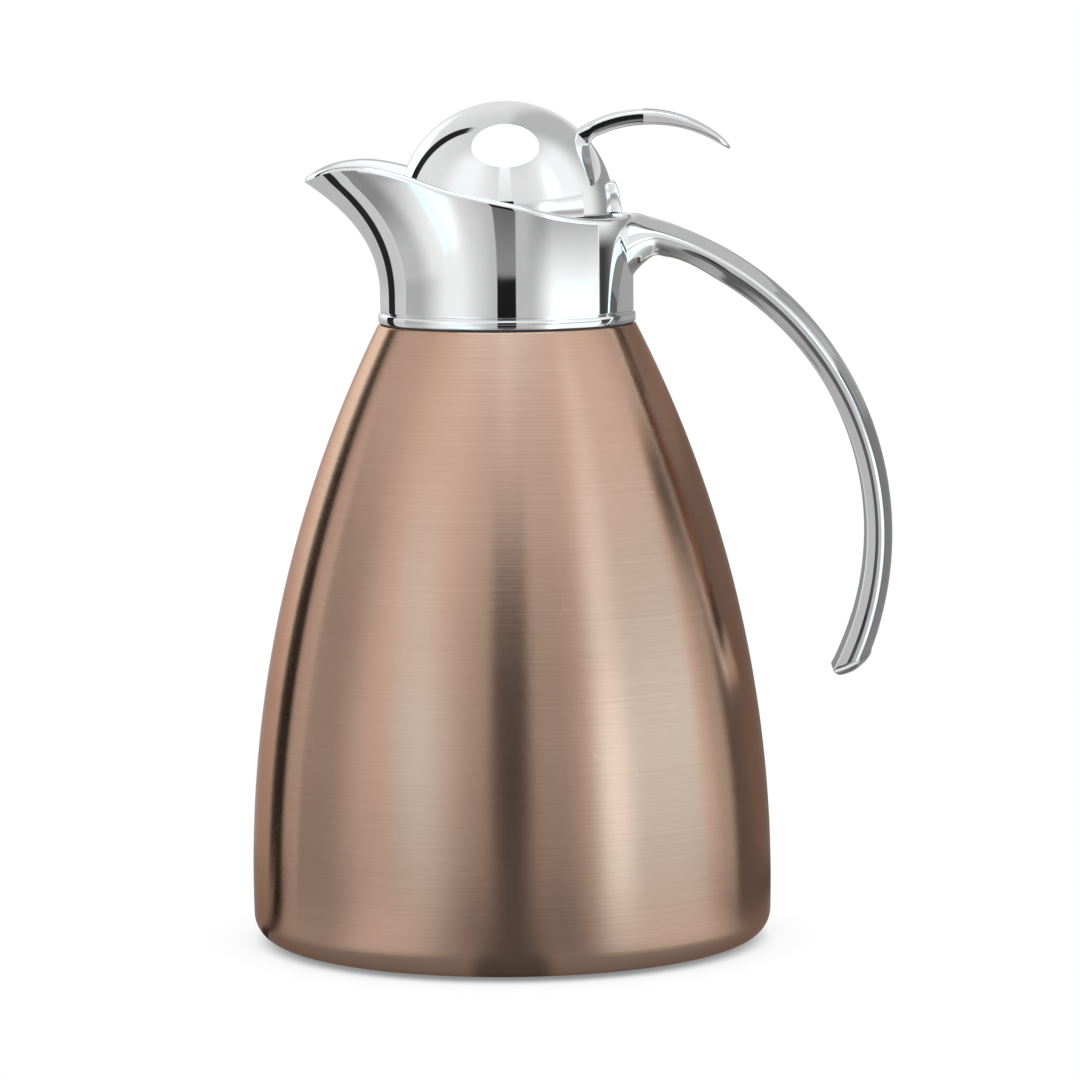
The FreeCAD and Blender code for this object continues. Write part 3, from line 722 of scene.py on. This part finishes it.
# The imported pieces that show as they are

for record in frame["record"]["subparts"]:
    node = nodes[record["node"]]
    if not node.hide_render:
        node.data.materials.clear()
        node.data.materials.append(finishes[record["material_slot"]])


# Studio: each zone of the world has its bearing, its height in degrees and a tone, two tones over a span or a gain

studio = {"level": 0.79, "top": (30, 75), "topLoss": 0.12, "diffuse": 0.9,
          "overhead": (77, 28.5), "overheadSoft": 0.02, "overheadTone": 1.4,
          "coolFrom": 0.95, "cool": (0.7, 1.0), "coolMost": 0.45,
          "zones": [
              {"around": ("rise", -70, -30), "height": ("fall", -42, -10), "tone": 0.10},
              {"around": ("fall", -112, -88), "height": ("fall", -4, 10), "tone": 0.6},
              {"around": ("band", -72, -25, 17), "height": ("hill", -45, -10, 46, 68), "tone": 0.98},
              {"around": ("band", 42, 103, 24), "height": ("hill", -45, -10, 46, 68), "tone": 0.98},
              {"around": ("hill", 88, 128, 160, 180), "height": ("rise", 6, 28), "tone": 0.5},
              {"around": ("band", 47, 60, 9), "height": ("band", -8, 40, 12), "gain": 0.25},
              {"around": ("fall", -140, -134), "height": ("fall", -8, 4), "tone": 0.5},
              {"around": ("hill", -172, -156, -136, -132), "height": ("hill", -8, 10, 17, 31), "span": (-4, 10),
               "tones": (1.0, 1.42)},
              {"around": ("band", -136, -122.5, 0.8), "height": ("band", -60, 60, 4), "tone": 0.02},
              {"around": ("band", -8.3, 6.6, 0.8), "height": ("band", 8.0, 54, 1), "span": (10, 45),
               "tones": (0.84, 0.97)}]}


def grey(board, tone):
    return board.add("ShaderNodeCombineColor", {}, {"Red": tone, "Green": tone, "Blue": tone})["Color"]


def coolGrey(board, tone, start, gain=1.0):
    # The brightest lamps are the coolest
    over = ((tone - start).most(0.0) * gain).least(studio["coolMost"])
    green, blue = studio["cool"]
    return board.add("ShaderNodeCombineColor", {}, {"Red": tone, "Green": tone + over * green,
                                                    "Blue": tone + over * blue})["Color"]


def bearing(spot):
    # Degrees, 0 towards the camera and positive to the right
    return spot["X"].maths("ARCTAN2", spot["X"], -spot["Y"]) * math.degrees(1)


def hangStudio():
    world = bpy.data.worlds.new("studio")
    scene.world = world
    world.use_nodes = True
    board = Board(world.node_tree)
    way = board.add("ShaderNodeSeparateXYZ", {}, {"Vector": board.add("ShaderNodeTexCoord")["Generated"]})
    around = bearing(way)
    height = way["Z"].maths("ARCSINE", way["Z"]) * math.degrees(1)
    light = studio["level"] - height.rise(*studio["top"]) * studio["topLoss"]
    for zone in studio["zones"]:
        share = around.zone(zone["around"]) * height.zone(zone["height"])
        if "gain" in zone:
            light = light + share * zone["gain"]
        elif "span" in zone:
            light = light.towards(height.rise(*zone["span"]).between(*zone["tones"]), share)
        else:
            light = light.towards(zone["tone"], share)
    tilt, wide = (math.radians(angle) for angle in studio["overhead"])
    facing = -way["Y"] * math.cos(tilt) + way["Z"] * math.sin(tilt)
    soft = studio["overheadSoft"]
    light = light.towards(studio["overheadTone"], facing.rise(math.cos(wide * (1 + soft)), math.cos(wide * (1 - soft))))
    path = board.add("ShaderNodeLightPath")
    seen = path["Is Camera Ray"].most(path["Is Transmission Ray"])
    light = light.most(0.0).towards(studio["diffuse"], path["Is Diffuse Ray"])
    colour = board.mix(seen, coolGrey(board, light, studio["coolFrom"]), (1, 1, 1, 1))
    glow = board.add("ShaderNodeBackground", {}, {"Color": colour, "Strength": 1.0})
    board.add("ShaderNodeOutputWorld", {}, {"Surface": glow["Background"]})


# Cards: bearings in degrees, heights in metres; a loss is the part of the tone that a zone takes away

wall = {"far": 0.32, "around": (-100, 88), "high": (-0.24, 0.242), "level": 0.52, "boxLeft": (-67, -25, 17),
        "boxRight": (20, 44), "boxLight": 1.1, "peak": (38, 49, 7), "peakGap": (0.118, 0.172, 0.012), "peakGain": 0.65,
        "losses": [
            {"height": ("fall", -0.16, 0.1), "around": ("rise", -75, -35), "part": 0.65},
            {"height": ("fall", -0.08, 0.08), "around": ("fall", -45, -25), "part": 0.5},
            {"height": ("hill", 0.138, 0.168, 0.172, 0.19), "around": ("rise", 14, 34), "part": 0.6},
            {"height": ("band", 0.128, 0.172, 0.01), "around": ("fall", -30, -14), "part": 0.16},
            {"height": ("fall", 0.118, 0.138), "around": ("band", -62, -42, 6), "part": 0.13}],
        "fade": (0.2, 0.242), "flag": (-7.9, 8.2, 0.4), "flagFoot": (0.0, 0.02), "flagTone": 0.012,
        "lowFlag": (-4.5, 5.5, 1.5), "lowFlagFoot": (-0.07, -0.04), "flagBelow": (0.05, 0.11), "belowTone": 0.1,
        "pale": (0.1468, 0.177, 0.0012), "paleSpan": (0.148, 0.172), "paleTones": (0.25, 0.12)}
sideFlag = {"far": 0.14, "around": (84, 165), "high": (0.0, 0.215), "deepSpan": (96, 125), "deep": (0.17, 0.27),
            "collar": (0.139, 0.168, 0.004), "fade": (88, 118), "tones": (0.05, 0.38), "top": (0.164, 0.172),
            "topSpan": (90, 120), "topTones": (0.92, 0.32), "start": 82.5, "lowStart": 11, "startSpan": (0.1, 0.139),
            "soft": 3, "clear": 0.65}
cards = {"columns": 64, "neutralTop": (0.10, 0.125), "neutralLeft": (-56, -40), "neutralRight": (8, 38, 4),
         "neutralFoot": (-0.06, -0.02), "coolFrom": (0.62, 1.0), "coolGain": (1.0, 5.5)}


def paintWall(around, height):
    boxes = around.band(*wall["boxLeft"]).most(around.rise(*wall["boxRight"]))
    tone = boxes.between(wall["level"], wall["boxLight"])
    tone = tone + around.band(*wall["peak"]) * (1 - height.band(*wall["peakGap"])) * wall["peakGain"]
    for loss in wall["losses"]:
        tone = tone * (1 - height.zone(loss["height"]) * around.zone(loss["around"]) * loss["part"])
    tone = tone.towards(studio["level"], height.rise(*wall["fade"]))
    pale = height.band(*wall["pale"]) * height.rise(*wall["paleSpan"]).between(*wall["paleTones"])
    flag = pale + height.fall(*wall["flagBelow"]) * wall["belowTone"] + wall["flagTone"]
    shade = around.band(*wall["flag"]) * height.rise(*wall["flagFoot"])
    shade = shade.most(around.band(*wall["lowFlag"]) * height.rise(*wall["lowFlagFoot"]))
    return tone.towards(flag, shade)


def paintSideFlag(around, height):
    tone = around.rise(*sideFlag["deepSpan"]).between(*sideFlag["deep"])
    tone = tone.towards(around.rise(*sideFlag["fade"]).between(*sideFlag["tones"]), height.band(*sideFlag["collar"]))
    tone = tone.towards(around.rise(*sideFlag["topSpan"]).between(*sideFlag["topTones"]), height.rise(*sideFlag["top"]))
    start = height.fall(*sideFlag["startSpan"]) * sideFlag["lowStart"] + sideFlag["start"]
    return tone.towards(sideFlag["clear"], (around - start).fall(0, sideFlag["soft"]))


def standCard(name, settings, paint):
    # Upright curved card, seen only in the carafe's reflections
    turns = [math.radians(turn) for turn in spread(*settings["around"], cards["columns"])]
    count = len(turns)
    mesh = bpy.data.meshes.new(name)
    mesh.from_pydata([(settings["far"] * math.sin(turn), -settings["far"] * math.cos(turn), height)
                      for height in settings["high"] for turn in turns], [],
                     [(step, step + 1, count + step + 1, count + step) for step in range(count - 1)])
    card = bpy.data.objects.new(name, mesh)
    scene.collection.objects.link(card)
    material = bpy.data.materials.new(name)
    material.use_nodes = True
    board = Board(material.node_tree)
    spot = board.add("ShaderNodeSeparateXYZ", {}, {"Vector": board.place(even(1.0))})
    around, height = bearing(spot), spot["Z"]
    plain = height.rise(*cards["neutralTop"]).most(height.fall(*cards["neutralFoot"]))
    plain = plain.most(around.fall(*cards["neutralLeft"])).most(around.band(*cards["neutralRight"]))
    colour = coolGrey(board, paint(around, height), plain.between(*cards["coolFrom"]),
                      plain.between(*cards["coolGain"]))
    glow = board.add("ShaderNodeEmission", {}, {"Color": colour, "Strength": 1.0})
    board.add("ShaderNodeOutputMaterial", {}, {"Surface": glow["Emission"]})
    mesh.materials.append(material)
    card.visible_camera = False
    card.visible_diffuse = False
    card.visible_shadow = False


# Floor: white with a painted soft shadow to the camera, dimmer with soft painted bands of light and shade in
# reflections

floor = {"size": 0.17, "steps": 128, "drop": -0.0001, "pale": (0.86, 0.86, 0.86, 1), "shadow": 0.045,
         "shadowSamples": 16, "shadowSpan": (-0.35, 0.75), "contact": (0.7, 1.0), "dim": 0.13,
         "leftGlow": (-58, -24, 14), "rightGlow": (30, 78, 12), "glow": 0.68, "sideGlow": (-95, -50, 6),
         "sideLight": 0.3, "glowFrom": (0.072, 0.088), "near": 0.2, "nearTo": (0.085, 0.11), "nearGap": (-9, 9, 3),
         "slant": 210, "strip": 72, "stripWide": (-5, 4, 1.5), "stripLoss": 0.85, "rear": 0.34, "rearTo": (-6, -3)}


def paintMirrored(around, away):
    # Painted light and shade on the floor, seen only in reflections: glow bands, a dim base, a lighter painted zone
    # near the foot, a painted rear zone of fixed tone and a painted dark strip
    bands = around.band(*floor["leftGlow"]).most(around.band(*floor["rightGlow"])) * floor["glow"]
    bands = bands.most(around.band(*floor["sideGlow"]) * floor["sideLight"])
    tone = bands * away.rise(*floor["glowFrom"]) + floor["dim"]
    tone = tone + away.fall(*floor["nearTo"]) * (1 - around.band(*floor["nearGap"])) * floor["near"]
    line = around + away * floor["slant"] + floor["strip"]     # 0 along the line where the left dark strip's painted reflection runs on the floor
    tone = tone.towards(floor["rear"], line.fall(*floor["rearTo"]))
    return tone * (1 - line.band(*floor["stripWide"]) * floor["stripLoss"])


def layFloor():
    mesh = bpy.data.meshes.new("floor")
    mesh.from_pydata([(floor["size"] * math.cos(turn), floor["size"] * math.sin(turn), floor["drop"])
                      for turn in fullTurn(floor["steps"])], [], [tuple(range(floor["steps"]))])
    sheet = bpy.data.objects.new("floor", mesh)
    scene.collection.objects.link(sheet)
    material = bpy.data.materials.new("pale_floor")
    material.use_nodes = True
    board = Board(material.node_tree)
    path = board.add("ShaderNodeLightPath")
    openness = board.add("ShaderNodeAmbientOcclusion", {"samples": floor["shadowSamples"]},
                         {"Distance": floor["shadow"]})["AO"]
    spot = board.add("ShaderNodeSeparateXYZ", {}, {"Vector": board.place(even(1.0))})
    away = (spot["X"] * spot["X"] + spot["Y"] * spot["Y"]) ** 0.5
    # Painted contact shade: ambient occlusion darkens the floor as it shows in reflections
    mirrored = paintMirrored(bearing(spot), away) * openness.between(*floor["contact"])
    # Painted shadow: ambient occlusion darkens the floor's white emission towards the camera
    shade = openness.rise(*floor["shadowSpan"]).towards(mirrored, path["Is Glossy Ray"])
    glow = board.add("ShaderNodeEmission", {}, {"Color": grey(board, shade), "Strength": 1.0})
    plain = board.add("ShaderNodeBsdfDiffuse", {}, {"Color": floor["pale"]})
    seen = path["Is Camera Ray"].most(path["Is Glossy Ray"]).most(path["Is Transmission Ray"])
    both = board.add("ShaderNodeMixShader", {}, {0: seen, 1: plain["BSDF"], 2: glow["Emission"]})
    board.add("ShaderNodeOutputMaterial", {}, {"Surface": both["Shader"]})
    mesh.materials.append(material)


hangStudio()
standCard("studio_wall", wall, paintWall)
standCard("side_flag", sideFlag, paintSideFlag)
layFloor()


# Camera

view = {"place": (0.0076, -1.35, 0.25), "down": 6.4, "roll": -0.5, "lens": 184.0, "sensor": 36}


def setCamera():
    data = bpy.data.cameras.new("camera")
    data.lens = view["lens"]
    data.sensor_width = view["sensor"]
    camera = bpy.data.objects.new("camera", data)
    scene.collection.objects.link(camera)
    turn = Euler((math.radians(90 - view["down"]), 0, 0)).to_matrix().to_4x4()
    roll = Matrix.Rotation(math.radians(view["roll"]), 4, "Z")
    camera.matrix_world = Matrix.Translation(view["place"]) @ turn @ roll
    scene.camera = camera


setCamera()
print("studio and camera set")
